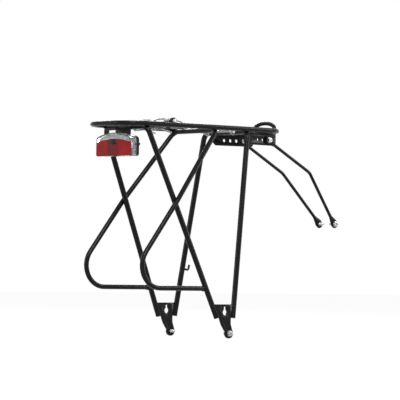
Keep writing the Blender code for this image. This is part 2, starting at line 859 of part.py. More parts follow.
def build_studs():
    for side, hand in ((1, "left"), (-1, "right")):
        seat = Vector((base_front - shell_wall - gap, side * stud_half_gap, stud_height))
        grip = shell_wall + bracket_thickness + 2 * gap + 0.0008
        bolt("light_stud_" + hand, seat, (1, 0, 0), grip + 0.0075, radius=stud_radius,
             head=0.0035, deep=0.0028)
        face = Vector((bracket_x + bracket_thickness / 2 + gap, seat.y, seat.z))
        washer("light_washer_" + hand, face, (1, 0, 0), 0.0045, stud_radius)
        nut("light_nut_" + hand, face + Vector((washer_thickness + gap, 0, 0)), (1, 0, 0),
            0.0040, 0.0032, stud_radius)


build_platform()
build_arch()
build_stays()
build_hoop()
build_feet()
build_struts()
build_hook()
build_clamp_mount()
build_clamp_frame()
build_springs()
build_bracket()
build_base()
build_cover()
build_lens()
build_electrics()
build_button()
build_studs()
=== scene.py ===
import bpy
import json
from math import atan, cos, hypot, pi, radians, sin, sqrt, tan
from mathutils import Matrix, Vector

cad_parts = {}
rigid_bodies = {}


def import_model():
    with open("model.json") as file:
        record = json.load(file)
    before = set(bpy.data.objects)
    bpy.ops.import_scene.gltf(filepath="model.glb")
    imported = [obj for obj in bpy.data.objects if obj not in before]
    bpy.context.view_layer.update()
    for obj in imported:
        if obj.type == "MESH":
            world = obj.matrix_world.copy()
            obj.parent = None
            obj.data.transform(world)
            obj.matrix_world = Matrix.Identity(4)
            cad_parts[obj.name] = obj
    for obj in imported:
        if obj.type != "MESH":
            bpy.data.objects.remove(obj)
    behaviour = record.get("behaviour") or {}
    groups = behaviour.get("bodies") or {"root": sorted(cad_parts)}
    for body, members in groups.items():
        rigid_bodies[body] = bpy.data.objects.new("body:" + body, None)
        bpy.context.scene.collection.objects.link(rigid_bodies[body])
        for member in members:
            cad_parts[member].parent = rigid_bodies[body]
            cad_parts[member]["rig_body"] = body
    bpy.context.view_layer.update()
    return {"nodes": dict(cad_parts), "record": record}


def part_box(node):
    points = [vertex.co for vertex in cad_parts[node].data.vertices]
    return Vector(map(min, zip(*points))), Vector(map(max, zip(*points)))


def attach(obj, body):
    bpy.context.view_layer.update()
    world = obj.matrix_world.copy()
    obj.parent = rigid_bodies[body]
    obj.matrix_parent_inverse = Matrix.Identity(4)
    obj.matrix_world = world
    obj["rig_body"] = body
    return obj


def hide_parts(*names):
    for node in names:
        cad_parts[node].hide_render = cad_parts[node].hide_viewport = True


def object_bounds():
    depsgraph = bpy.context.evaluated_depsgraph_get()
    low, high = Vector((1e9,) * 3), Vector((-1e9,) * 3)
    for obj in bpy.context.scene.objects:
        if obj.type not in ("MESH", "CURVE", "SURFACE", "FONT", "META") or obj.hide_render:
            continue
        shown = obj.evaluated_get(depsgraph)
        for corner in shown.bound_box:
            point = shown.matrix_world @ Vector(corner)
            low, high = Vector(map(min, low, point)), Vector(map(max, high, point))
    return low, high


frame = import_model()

print("frame loaded:", len(frame["nodes"]), "nodes")
sides = (("left", 1), ("right", -1))


# selection and finishing

def pick(piece):  # makes one object the selected and active one
    bpy.ops.object.select_all(action="DESELECT")
    piece.hide_set(False)
    piece.select_set(True)
    bpy.context.view_layer.objects.active = piece


def settle(piece):  # puts place, turn and size into the mesh
    pick(piece)
    bpy.ops.object.transform_apply(location=True, rotation=True, scale=True)


def applyModifiers(piece):
    pick(piece)
    for modifier in list(piece.modifiers):
        bpy.ops.object.modifier_apply(modifier=modifier.name)


def tidyMesh(piece, within=0.00001):
    pick(piece)
    bpy.ops.object.mode_set(mode="EDIT")
    bpy.ops.mesh.select_all(action="SELECT")
    bpy.ops.mesh.remove_doubles(threshold=within)
    bpy.ops.mesh.normals_make_consistent(inside=False)
    bpy.ops.object.mode_set(mode="OBJECT")


def smooth(piece, angle=35):
    pick(piece)
    bpy.ops.object.shade_smooth_by_angle(angle=radians(angle))


def roundEdges(piece, width, segments=2, angle=30):
    bevel = piece.modifiers.new("edges", "BEVEL")
    bevel.width = width
    bevel.segments = segments
    bevel.limit_method = "ANGLE"
    bevel.angle_limit = radians(angle)
    applyModifiers(piece)


def wear(piece, surface):
    piece.data.materials.clear()
    piece.data.materials.append(surface)


def mount(piece, node, slotName):  # gives the piece its body, slot and surface
    wear(piece, surfaces[slotName])
    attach(piece, frame["nodes"][node]["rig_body"])
    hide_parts(node)


def joinAll(name, pieces):
    pick(pieces[0])
    for piece in pieces:
        piece.select_set(True)
    bpy.ops.object.join()
    made = bpy.context.active_object
    made.name = name
    return made


def cutWith(piece, cutter, operation="DIFFERENCE"):
    knife = piece.modifiers.new("cut", "BOOLEAN")
    knife.operation = operation
    knife.solver = "EXACT"
    knife.object = cutter
    applyModifiers(piece)
    bpy.data.objects.remove(cutter)


# shapes

def roundedPath(corners, bends, steps=14):  # straight runs between corners, an arc at each bend
    points = []
    for index, corner in enumerate(corners):
        radius = bends[index]
        if radius == 0:
            points.append(corner.copy())
            continue
        back = (corners[index - 1] - corner).normalized()
        ahead = (corners[(index + 1) % len(corners)] - corner).normalized()
        opening = back.angle(ahead)
        swing = pi - opening
        centre = corner + (back + ahead).normalized() * radius / sin(opening / 2)
        start = corner + back * radius / tan(opening / 2) - centre
        end = corner + ahead * radius / tan(opening / 2) - centre
        for step in range(steps + 1):
            part = step / steps
            mix = start * sin((1 - part) * swing) + end * sin(part * swing)
            points.append(centre + mix / sin(swing))
    return points


def tubeAlong(name, points, radius, closed=False, resolution=8, weights=None):
    bpy.ops.curve.primitive_nurbs_path_add(location=(0, 0, 0))
    piece = bpy.context.active_object
    piece.name = name
    curve = piece.data
    curve.splines.clear()
    spline = curve.splines.new("POLY")
    spline.points.add(len(points) - 1)
    for index, point in enumerate(points):
        spline.points[index].co = (*point, 1)
        spline.points[index].radius = weights[index] if weights else 1
    spline.use_cyclic_u = closed
    curve.bevel_depth = radius
    curve.bevel_resolution = resolution
    curve.use_fill_caps = not closed
    bpy.ops.object.convert(target="MESH")
    piece = bpy.context.active_object
    tidyMesh(piece)
    smooth(piece, 50)
    return piece


def ringStack(name, rings, count=32):  # a turned solid: extrude and resize from ring to ring
    radius, height = rings[0]
    bpy.ops.mesh.primitive_circle_add(vertices=count, radius=radius, fill_type="NGON",
                                      location=(0, 0, height))
    piece = bpy.context.active_object
    piece.name = name
    bpy.ops.object.transform_apply(location=True, rotation=True, scale=True)
    bpy.ops.object.mode_set(mode="EDIT")
    bpy.ops.mesh.select_all(action="SELECT")
    for nextRadius, nextHeight in rings[1:]:
        bpy.ops.mesh.extrude_region_move(
            TRANSFORM_OT_translate={"value": (0, 0, nextHeight - height)})
        ratio = nextRadius / radius
        bpy.ops.transform.resize(value=(ratio, ratio, 1),
                                 center_override=(0, 0, nextHeight))
        radius, height = nextRadius, nextHeight
    bpy.ops.object.mode_set(mode="OBJECT")
    tidyMesh(piece)
    return piece


def layAlong(piece, place, axis):  # stands a Z-aligned piece at its place and axis
    turn = Vector((0, 0, 1)).rotation_difference(Vector(axis)).to_matrix().to_4x4()
    piece.matrix_world = Matrix.Translation(place) @ turn
    bpy.context.view_layer.update()
    settle(piece)


def twin(piece, name):
    pick(piece)
    bpy.ops.object.duplicate()
    made = bpy.context.active_object
    made.name = name
    return made


def copyOf(node, name, edge=0.0004, segments=2, angle=30):  # a cleaned copy of a CAD node
    made = twin(frame["nodes"][node], name)
    made.parent = None
    for key in list(made.keys()):
        del made[key]
    tidyMesh(made)
    bpy.ops.object.mode_set(mode="EDIT")
    bpy.ops.mesh.select_all(action="SELECT")
    bpy.ops.mesh.dissolve_limited(angle_limit=radians(0.5))
    bpy.ops.object.mode_set(mode="OBJECT")
    if edge:
        roundEdges(made, edge, segments, angle)
    smooth(made, 40)
    return made


# surfaces

class finishMaker:  # builds the nodes of one material
    def __init__(self, name):
        self.material = bpy.data.materials.new(name)
        self.material.use_nodes = True
        self.tree = self.material.node_tree
        self.shader = self.tree.nodes["Principled BSDF"]
        self.place = self.tree.nodes.new("ShaderNodeTexCoord")

    def stretch(self, scale):
        mapping = self.tree.nodes.new("ShaderNodeMapping")
        mapping.inputs["Scale"].default_value = scale
        self.tree.links.new(self.place.outputs["Object"], mapping.inputs["Vector"])
        return mapping.outputs["Vector"]

    def noise(self, scale, detail=3.0, vector=None):
        node = self.tree.nodes.new("ShaderNodeTexNoise")
        node.inputs["Scale"].default_value = scale
        node.inputs["Detail"].default_value = detail
        self.tree.links.new(vector or self.place.outputs["Object"], node.inputs["Vector"])
        return node.outputs["Fac"]

    def ramp(self, source, low, high, start=0.3, end=0.7):
        node = self.tree.nodes.new("ShaderNodeValToRGB")
        node.color_ramp.elements[0].position = start
        node.color_ramp.elements[1].position = end
        node.color_ramp.elements[0].color = (*low, 1)
        node.color_ramp.elements[1].color = (*high, 1)
        self.tree.links.new(source, node.inputs["Fac"])
        return node.outputs["Color"]

    def mix(self, factor, first, second):
        node = self.tree.nodes.new("ShaderNodeMix")
        node.data_type = "RGBA"
        for socket, value in ((0, factor), (6, first), (7, second)):
            self.tree.links.new(value, node.inputs[socket])
        return node.outputs[2]

    def edges(self, start=0.52, end=0.60):  # light where the mesh has an outer edge
        node = self.tree.nodes.new("ShaderNodeNewGeometry")
        return self.ramp(node.outputs["Pointiness"], (0, 0, 0), (1, 1, 1), start, end)

    def awayFromMiddle(self):  # distance from the middle plane, left or right
        split = self.tree.nodes.new("ShaderNodeSeparateXYZ")
        self.tree.links.new(self.place.outputs["Object"], split.inputs["Vector"])
        away = self.tree.nodes.new("ShaderNodeMath")
        away.operation = "ABSOLUTE"
        self.tree.links.new(split.outputs["Y"], away.inputs[0])
        return away.outputs["Value"]

    def colour(self, socket):
        self.tree.links.new(socket, self.shader.inputs["Base Color"])

    def roughness(self, source, low, high):
        node = self.tree.nodes.new("ShaderNodeMapRange")
        node.inputs["To Min"].default_value = low
        node.inputs["To Max"].default_value = high
        self.tree.links.new(source, node.inputs["Value"])
        self.tree.links.new(node.outputs["Result"], self.shader.inputs["Roughness"])

    def bump(self, source, strength, distance):
        node = self.tree.nodes.new("ShaderNodeBump")
        node.inputs["Strength"].default_value = strength
        node.inputs["Distance"].default_value = distance
        self.tree.links.new(source, node.inputs["Height"])
        self.tree.links.new(node.outputs["Normal"], self.shader.inputs["Normal"])

    def fixed(self, **values):
        for label, value in values.items():
            self.shader.inputs[label.replace("_", " ")].default_value = value


def blackPaint():
    made = finishMaker("blackPowderCoat")
    body = made.ramp(made.noise(22), (0.0022, 0.0022, 0.0025), (0.0045, 0.0045, 0.0049))
    rubbed = made.ramp(made.noise(130, 6), (0.0085, 0.0085, 0.0092), (0.040, 0.040, 0.042), 0.45, 0.75)
    made.colour(made.mix(made.edges(0.58, 0.70), body, rubbed))
    made.roughness(made.noise(90, 4), 0.20, 0.28)
    made.bump(made.noise(260, 2), 0.025, 0.0001)
    made.fixed(Specular_IOR_Level=0.14)
    return made.material


def plainMetal(name, low, high, rough, grain, bumpDepth):
    made = finishMaker(name)
    made.colour(made.ramp(made.noise(grain, 5), low, high))
    made.roughness(made.noise(grain * 3, 4), *rough)
    made.bump(made.noise(9, 8, made.stretch((60, 60, 260))), bumpDepth, 0.0001)
    made.fixed(Metallic=1.0)
    return made.material


def plainPlastic(name, low, high, rough, grain, bumpDepth=0.15, sheen=0.3):
    made = finishMaker(name)
    made.colour(made.ramp(made.noise(40, 4), low, high))
    made.roughness(made.noise(160, 3), *rough)
    made.bump(made.noise(grain, 2), bumpDepth, 0.0002)
    made.fixed(Specular_IOR_Level=sheen)
    return made.material


def clearPlastic():
    made = finishMaker("clearPlastic")
    made.colour(made.ramp(made.noise(30, 3), (0.93, 0.95, 0.95), (0.98, 0.99, 0.99)))
    made.roughness(made.noise(120, 4), 0.03, 0.07)
    made.bump(made.noise(45, 2), 0.03, 0.0002)
    made.fixed(Transmission_Weight=1.0, IOR=1.49)
    return made.material


panelEdge = (0.0140, 0.0185)


def redPlastic():  # a darker panel in the middle of the field
    made = finishMaker("redPlastic")
    field = made.ramp(made.noise(60, 3), (0.17, 0.0018, 0.0036), (0.26, 0.0030, 0.0052))
    panel = made.ramp(made.noise(90, 3), (0.10, 0.0025, 0.0034), (0.14, 0.0034, 0.0046))
    side = made.ramp(made.awayFromMiddle(), (0, 0, 0), (1, 1, 1), *panelEdge)
    made.colour(made.mix(side, panel, field))
    made.roughness(made.noise(200, 3), 0.10, 0.18)
    made.bump(made.noise(300, 2), 0.03, 0.0001)
    made.fixed(Specular_IOR_Level=0.15)
    return made.material


def batterySkin():
    made = finishMaker("batteryFoil")
    sleeve, end = (0.02, 0.025, 0.03), (0.36, 0.30, 0.16)
    made.colour(made.ramp(made.awayFromMiddle(), sleeve, end, 0.030, 0.031))
    made.roughness(made.noise(200, 3), 0.25, 0.38)
    made.bump(made.noise(300, 2), 0.05, 0.0002)
    made.fixed(Metallic=0.6)
    return made.material


surfaces = {
    "black_paint": blackPaint(),
    "zinc_plate": plainMetal("zincPlate", (0.36, 0.37, 0.38), (0.54, 0.54, 0.55),
                             (0.22, 0.36), 220, 0.08),
    "spring_steel": plainMetal("springSteel", (0.17, 0.17, 0.18), (0.34, 0.34, 0.35),
                               (0.22, 0.34), 160, 0.06),
    "black_plastic": plainPlastic("blackPlastic", (0.005, 0.005, 0.0055), (0.011, 0.011, 0.012),
                                  (0.32, 0.48), 2200),
    "clear_plastic": clearPlastic(),
    "red_plastic": redPlastic(),
    "silver_plastic": plainMetal("silverPlastic", (0.20, 0.20, 0.21), (0.32, 0.32, 0.33),
                                 (0.26, 0.36), 420, 0.02),
    "board_green": plainPlastic("boardMask", (0.012, 0.09, 0.035), (0.02, 0.15, 0.06), (0.25, 0.4), 600),
    "led_dark": plainPlastic("ledResin", (0.004, 0.004, 0.003), (0.009, 0.009, 0.006),
                             (0.12, 0.22), 400, 0.03, 0.15),
    "battery_skin": batterySkin(),
    "black_rubber": plainPlastic("blackRubber", (0.012, 0.012, 0.012), (0.024, 0.024, 0.024),
                                 (0.55, 0.75), 1800, 0.3),
}
slots = {row["node"]: row["material_slot"] for row in frame["record"]["subparts"]}
for node, piece in frame["nodes"].items():
    wear(piece, surfaces[slots[node]])
print("surfaces ready")


# platform, arch, stays and hoop

platform = {"radius": 0.0045, "height": 0.375, "halfWidth": 0.065, "rear": -0.224,
            "front": 0.152, "rearCorner": 0.043, "frontCorner": 0.050,
            "archRadius": 0.0038, "archHalfWidth": 0.0285, "archRise": 0.0165,
            "archFoot": 0.0015}
stays = {"radius": 0.005, "bend": 0.014, "topHalfWidth": 0.063, "footHalfWidth": 0.086,
         "end": 0.028, "rear": (-0.1758, -0.0282), "front": (0.0571, 0.0094)}
hoop = {"radius": 0.0045, "crossX": -0.0160, "cornerX": -0.2384, "bottom": 0.0812,
        "bend": 0.040, "crossBend": 0.15, "halfWidth": 0.0845}
fit = {"gap": 0.0003, "slack": 0.0004}
weld = {"ringBead": 0.0010, "lineBead": 0.0013, "ripples": 22, "swell": 0.035, "heave": 0.2,
        "steps": 26, "taper": 0.25, "beat": 2.2, "beatDepth": 0.14,
        "railAhead": 0.72, "railAcross": 0.0035, "railRise": 0.0028, "railBead": 0.0016,
        "plateAcross": 0.0022, "plateBead": 0.0011, "plateEnd": 0.001,
        "bracketFrom": 0.020, "bracketTo": 0.008, "bracketDrop": 0.0008, "bracketBead": 0.0010}
weldPieces = []


def mirrorY(side, point):
    return Vector((point[0], side * point[1], point[2]))


def weldRing(place, axis, radius, bead=weld["ringBead"]):  # a rippled ring of weld round a tube's end
    bpy.ops.mesh.primitive_torus_add(major_segments=48, minor_segments=8,
                                     major_radius=radius, minor_radius=bead)
    piece = bpy.context.active_object
    for vertex in piece.data.vertices:
        turn = atan(vertex.co.y / vertex.co.x) if vertex.co.x else 0
        swell = 1 + weld["swell"] * sin(weld["ripples"] * turn)
        vertex.co.x *= swell
        vertex.co.y *= swell
        vertex.co.z *= 1 + weld["heave"] * sin(weld["ripples"] * turn)
    layAlong(piece, place, axis)
    smooth(piece, 60)
    weldPieces.append(piece)


def weldLine(start, end, bead=weld["lineBead"]):  # a tapering, rippled run of weld
    count = weld["steps"]
    points = [start.lerp(end, i / count) for i in range(count + 1)]
    weights = [min(1, weld["taper"] + 4 * min(i, count - i) / count)
               * (1 + weld["beatDepth"] * sin(weld["beat"] * i)) for i in range(count + 1)]
    weldPieces.append(tubeAlong("weldLine", points, bead, resolution=3, weights=weights))


def seatUnderRails(pathAt, radius):  # height of a cross piece whose bends meet the rails
    height = platform["height"] - radius
    wanted = platform["radius"] + radius + fit["gap"]
    for _ in range(30):
        nearest = min(hypot(abs(p.y) - platform["halfWidth"], p.z - platform["height"])
                      for p in pathAt(height))
        height += (nearest - wanted) * 0.7
    return height


def stayPath(crossX, footX):
    def pathAt(height):
        foot = Vector((footX, stays["footHalfWidth"], stays["end"]))
        top = Vector((crossX, stays["topHalfWidth"], height))
        corners = [mirrorY(-1, foot), mirrorY(-1, top), top, foot]
        return roundedPath(corners, [0, stays["bend"], stays["bend"], 0])
    return pathAt


rearPath = stayPath(*stays["rear"])
frontPath = stayPath(*stays["front"])
rearTop = seatUnderRails(rearPath, stays["radius"])
frontTop = seatUnderRails(frontPath, stays["radius"])


def stayAt(ends, top, height):  # centre of a stay's left leg at a height
    part = (top - height) / (top - stays["end"])
    wide = stays["topHalfWidth"] + (stays["footHalfWidth"] - stays["topHalfWidth"]) * part
    return Vector((ends[0] + (ends[1] - ends[0]) * part, wide, height))


def rearStayAt(height):
    return stayAt(stays["rear"], rearTop, height)


def frontStayAt(height):
    return stayAt(stays["front"], frontTop, height)


def hoopCrossing():  # where the hoop's leg passes outside the rear stay
    leg = (hoop["crossX"] - hoop["cornerX"]) / (platform["height"] - hoop["bottom"])
    low, high = hoop["bottom"], platform["height"]
    for _ in range(40):
        height = (low + high) / 2
        if hoop["cornerX"] + leg * (height - hoop["bottom"]) > rearStayAt(height).x:
            high = height
        else:
            low = height
    lean = (stays["footHalfWidth"] - stays["topHalfWidth"]) / (rearTop - stays["end"])
    spread = hoop["radius"] + stays["radius"] + fit["gap"]
    return rearStayAt(height) + Vector((0, spread / cos(atan(2 * lean)), 0))


def hoopEnd():
    stay = rearStayAt(hoop["bottom"])
    lean = (stays["rear"][1] - stays["rear"][0]) / (rearTop - stays["end"])
    reach = stays["radius"] * sqrt(1 + lean ** 2) + hoop["radius"] * lean + fit["gap"]
    return Vector((stay.x - reach, stay.y, hoop["bottom"]))


def hoopPath(height):
    left = [Vector((hoop["crossX"], stays["topHalfWidth"], height)), hoopCrossing(),
            Vector((hoop["cornerX"], hoop["halfWidth"], hoop["bottom"])), hoopEnd()]
    corners = [mirrorY(-1, point) for point in reversed(left)] + left
    bends = [0, hoop["bend"], hoop["crossBend"], stays["bend"]]
    return roundedPath(corners, bends + bends[::-1])


def buildPlatform():
    rear, front, wide = platform["rear"], platform["front"], platform["halfWidth"]
    corners = [Vector((x, y, platform["height"])) for x, y in
               ((rear, wide), (rear, -wide), (front, -wide), (front, wide))]
    bends = [platform["rearCorner"]] * 2 + [platform["frontCorner"]] * 2
    loop = tubeAlong("platformTube", roundedPath(corners, bends, 24), platform["radius"], True)
    mount(loop, "platform_loop", "black_paint")
    beyond = platform["archHalfWidth"] - (wide - platform["frontCorner"])
    place = front - platform["frontCorner"] + sqrt(platform["frontCorner"] ** 2 - beyond ** 2)
    foot = platform["height"] + platform["radius"] + fit["gap"]
    spring = foot + platform["archFoot"]
    rise = platform["height"] + platform["archRise"] - spring
    wing = platform["archHalfWidth"]
    points = [Vector((place, wing * cos(pi * i / 48), spring + rise * sin(pi * i / 48)))
              for i in range(49)]
    points = [Vector((place, wing, foot))] + points + [Vector((place, -wing, foot))]
    arch = tubeAlong("archTube", points, platform["archRadius"])
    mount(arch, "luggage_arch", "black_paint")
    for _, side in sides:
        weldRing((place, side * wing, foot), (0, 0, 1), platform["archRadius"])


def buildStays():
    for name, node, path, top in (("rearStay", "rear_stay_tube", rearPath, rearTop),
                                  ("frontStay", "front_stay_tube", frontPath, frontTop)):
        made = tubeAlong(name, path(top), stays["radius"])
        roundEdges(made, 0.0008, 2, 50)
        smooth(made, 50)
        mount(made, node, "black_paint")
    height = seatUnderRails(hoopPath, hoop["radius"])
    made = tubeAlong("pannierHoop", hoopPath(height), hoop["radius"])
    mount(made, "pannier_hoop_tube", "black_paint")
    for pathAt, top, radius in ((rearPath, rearTop, stays["radius"]),
                                (frontPath, frontTop, stays["radius"]),
                                (hoopPath, height, hoop["radius"])):
        path = pathAt(top)
        for _, side in sides:
            near = [p for p in path if p.y * side > 0]
            spot = min(near, key=lambda p: hypot(abs(p.y) - platform["halfWidth"],
                                                 p.z - platform["height"]))
            seam = spot.lerp(Vector((spot.x, side * platform["halfWidth"], platform["height"])), 0.5)
            for ahead in (1, -1):
                offset = Vector((ahead * radius * weld["railAhead"], 0, 0))
                across = Vector((0, weld["railAcross"], weld["railRise"] * side))
                weldLine(seam + offset - across, seam + offset + across, weld["railBead"])
    for _, side in sides:
        weldRing(mirrorY(side, hoopEnd()) + Vector((2 * fit["gap"], 0, 0)), (1, 0, 0),
                 hoop["radius"], 0.0011)
        cross = mirrorY(side, rearStayAt(hoopCrossing().z))
        seam = cross + Vector((0, side * (stays["radius"] + fit["gap"] / 2), 0))
        weldLine(seam + Vector((0.004, 0, -0.006)), seam + Vector((0.006, 0, 0.002)))
        weldLine(seam + Vector((-0.006, 0, -0.002)), seam + Vector((-0.004, 0, 0.006)))


buildPlatform()
buildStays()
print("tubes built")


# foot plates, strut plates, lugs and bracket: cleaned copies with broken edges

def buildPlates():
    for hand, side in sides:
        for node, edge in (("foot_plate_", 0.0005), ("strut_plate_", 0.0004),
                           ("clamp_lug_", 0.0005)):
            made = copyOf(node + hand, node.replace("_", "") + "Finished" + hand, edge)
            mount(made, node + hand, "black_paint")
        made = copyOf("strut_" + hand, "strutFinished" + hand, 0.0003, 2, 45)
        mount(made, "strut_" + hand, "black_paint")
        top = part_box("foot_plate_" + hand)[1].z
        for stayAtHeight, ahead in ((rearStayAt, 1), (frontStayAt, -1)):
            for face in (-1, 1):
                ends = []
                for height in (stays["end"] + weld["plateEnd"], top - weld["plateEnd"]):
                    forward = stayAtHeight(height).x + ahead * stays["radius"] * 0.95
                    across = side * stays["footHalfWidth"] + face * weld["plateAcross"]
                    ends.append(Vector((forward, across, height)))
                weldLine(*ends, weld["plateBead"])
    made = copyOf("light_bracket", "lightBracketFinished", 0.0003)
    mount(made, "light_bracket", "black_paint")
    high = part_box("light_bracket")[1]
    for end in (-1, 1):
        line = [Vector((high.x + fit["gap"], end * across, high.z - weld["bracketDrop"]))
                for across in (weld["bracketFrom"], weld["bracketTo"])]
        weldLine(*line, weld["bracketBead"])


buildPlates()
print("plates built")


# fasteners

fasteners = {"headEdge": 0.0005, "pitch": 0.0008, "threadDepth": 0.00032, "socketDepth": 0.0020,
             "socketAcross": 0.0022, "bolt": {"radius": 0.0025, "head": 0.0044, "deep": 0.0034},
             "stud": {"radius": 0.002, "head": 0.0035, "deep": 0.0028},
             "shanks": {"foot_bolt": 0.016, "stay_bolt": 0.016, "strut_bolt": 0.0149},
             "studShank": 0.0123, "tipInset": 0.0006, "tipLength": 0.0005, "crestInset": 0.00002,
             "plateNormal": (0.15076, 0.98857), "washerEdge": 0.00018,
             "nutEdge": 0.0004}


def boltShape(name, shank, size):  # along Z, underside of head at nought
    radius, head, deep = size["radius"], size["head"], size["deep"]
    crest = radius - fasteners["crestInset"]
    rings = [(radius - fasteners["tipInset"], -shank)]
    height = -shank + fasteners["tipLength"]
    while height < -fasteners["pitch"]:
        rings.append((crest, height))
        rings.append((radius - fasteners["threadDepth"], height + fasteners["pitch"] * 0.5))
        height += fasteners["pitch"]
    edge = fasteners["headEdge"]
    rings += [(crest, height), (crest, 0), (head - edge * 0.4, 0),
              (head, edge * 0.4), (head, deep - edge), (head - edge * 0.3, deep - edge * 0.3),
              (head - edge, deep), (fasteners["socketAcross"] * 1.25, deep)]
    made = ringStack(name, rings)
    bpy.ops.mesh.primitive_cylinder_add(vertices=6, radius=fasteners["socketAcross"],
                                        depth=2 * fasteners["socketDepth"], location=(0, 0, deep))
    cutWith(made, bpy.context.active_object)
    smooth(made, 32)
    return made


def headCentre(node, outward):  # middle of the outer face of a bolt's head
    corners = [Vector(vertex.co) for vertex in frame["nodes"][node].data.vertices]
    tall = max(corner.dot(outward) for corner in corners)
    top = [corner for corner in corners if corner.dot(outward) > tall - 0.0001]
    return sum(top, Vector()) / len(top)


def buildBolts():
    alongX, alongY = fasteners["plateNormal"]
    for kind, shank in fasteners["shanks"].items():
        shape = boltShape(kind, shank, fasteners["bolt"])
        for hand, side in sides:
            node = kind + "_" + hand
            outward = Vector((0, side, 0))
            if kind == "strut_bolt":
                outward = Vector((alongX, side * alongY, 0))
            made = twin(shape, kind.replace("_", "") + hand)
            under = headCentre(node, outward) - outward * fasteners["bolt"]["deep"]
            layAlong(made, under, outward)
            mount(made, node, "zinc_plate")
        bpy.data.objects.remove(shape)


def buildStuds():
    shape = boltShape("lightStud", fasteners["studShank"], fasteners["stud"])
    for hand, _ in sides:
        node = "light_stud_" + hand
        low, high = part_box(node)
        made = twin(shape, "lightStud" + hand)
        under = Vector((low.x + fasteners["stud"]["deep"], (low.y + high.y) / 2, (low.z + high.z) / 2))
        layAlong(made, under, (-1, 0, 0))
        mount(made, node, "zinc_plate")
    bpy.data.objects.remove(shape)


def buildWashersAndNuts():
    edges = {"foot_washer": "washerEdge", "stay_washer": "washerEdge", "strut_washer": "washerEdge",
             "light_washer": "washerEdge", "strut_nut": "nutEdge", "light_nut": "nutEdge"}
    for hand, _ in sides:
        for kind, edge in edges.items():
            made = copyOf(kind + "_" + hand, kind.replace("_", "") + hand, fasteners[edge])
            mount(made, kind + "_" + hand, "zinc_plate")
    made = copyOf("clamp_pin", "clampPinFinished", 0.0003)
    mount(made, "clamp_pin", "zinc_plate")


buildBolts()
buildStuds()
buildWashersAndNuts()
print("fasteners built")


# spring clamp and strap hook

clamp = {"pinRadius": 0.0025, "pinX": -0.104, "pinHeight": 0.383, "tubeRadius": 0.004,
         "tubeX": -0.116, "wire": 0.00225, "halfWidth": 0.038, "front": 0.046, "dip": 0.003,
         "springWire": 0.0015, "springTurns": 3}
hook = {"radius": 0.002, "height": 0.1158, "reach": 0.0140, "rise": 0.0100, "bend": 0.0035}


def coilPoints(radius, start, turns, yFrom, yTo, perTurn=36):
    count = round(abs(turns) * perTurn)
    points = []
    for index in range(count + 1):
        part = index / count
        turn = radians(start) + 2 * pi * turns * part
        points.append(Vector((clamp["pinX"] + radius * cos(turn), yFrom + (yTo - yFrom) * part,
                              clamp["pinHeight"] + radius * sin(turn))))
    return points


def clampArm(side):
    eye = clamp["pinRadius"] + fit["slack"] + clamp["wire"]
    over = seatUnderRails(hoopPath, hoop["radius"]) + hoop["radius"] + fit["gap"] + clamp["wire"]
    pitch = 2 * clamp["wire"] + fit["slack"]
    wide, high, front = clamp["halfWidth"], platform["height"], clamp["front"]
    turn = coilPoints(eye, -90, 1, side * (wide + pitch), side * wide)
    shape = [(clamp["pinX"] + 0.016, over), (hoop["crossX"] + 0.006, over),
             (front - 0.030, high - 0.0025), (front - 0.015, high - 0.0025),
             (front - 0.001, high - 0.0105), (front, high - clamp["dip"])]
    corners = [turn[-1]] + [Vector((x, side * wide, z)) for x, z in shape]
    corners += [Vector((front, 0, high - clamp["dip"]))]
    run = roundedPath(corners, [0, 0.010, 0.020, 0.012, 0.005, 0.0025, 0.0035, 0], 8)
    return turn[:-1] + run[:-1]


def buildClamp():
    made = tubeAlong("clampWire", clampArm(1) + clampArm(-1)[::-1], clamp["wire"], resolution=6)
    mount(made, "clamp_frame", "spring_steel")
    inner = platform["halfWidth"] - platform["radius"] - fit["gap"]
    ends = [Vector((clamp["tubeX"], y, platform["height"])) for y in (-inner, inner)]
    made = tubeAlong("clampTube", ends, clamp["tubeRadius"])
    mount(made, "clamp_cross_tube", "black_paint")
    mean = clamp["pinRadius"] + fit["slack"] + clamp["springWire"]
    outer = clamp["halfWidth"] - clamp["wire"] - fit["slack"] - clamp["springWire"]
    inside = outer - (2 * clamp["springWire"] + fit["slack"]) * clamp["springTurns"]
    over = clamp["pinHeight"] + mean
    under = platform["height"] - clamp["tubeRadius"] - clamp["springWire"] - fit["gap"]
    for hand, side in sides:
        weldRing((clamp["tubeX"], side * (inner - 0.0004), platform["height"]), (0, 1, 0),
                 clamp["tubeRadius"])
        push = [Vector((clamp["pinX"] + 0.030, side * outer, over - 0.0045)),
                Vector((clamp["pinX"] + 0.010, side * outer, over - 0.0010))]
        turns = coilPoints(mean, 90, clamp["springTurns"], side * outer, side * inside)
        back = clamp["tubeX"]
        hold = [(back - 0.006, over - 0.0010), (back - 0.026, over - 0.0080),
                (back - 0.024, under - 0.0030), (back, under), (back + 0.026, under - 0.0060)]
        corners = [turns[-1]] + [Vector((x, side * inside, z)) for x, z in hold]
        leg = roundedPath(corners, [0, 0.012, 0.005, 0.004, 0.020, 0], 8)
        made = tubeAlong("clampSpring" + hand, push + turns[:-1] + leg, clamp["springWire"],
                         resolution=5)
        mount(made, "clamp_spring_" + hand, "spring_steel")


def buildHook():
    stay = frontStayAt(hook["height"])
    start = stay + Vector((stays["radius"] + fit["gap"], 0, 0))
    bend = stay + Vector((hook["reach"], 0, -0.002))
    tip = bend + Vector((0.0025, 0, hook["rise"]))
    made = tubeAlong("strapHookWire", roundedPath([start, bend, tip], [0, hook["bend"], 0]),
                     hook["radius"], resolution=6)
    roundEdges(made, 0.0006, 3, 50)
    smooth(made, 50)
    mount(made, "strap_hook", "black_paint")
    weldRing(start, (1, 0, 0), hook["radius"], 0.0008)


buildClamp()
buildHook()
print("clamp built")


# rear light: base, clear cover, silver cup, red field with its lamp window, push button

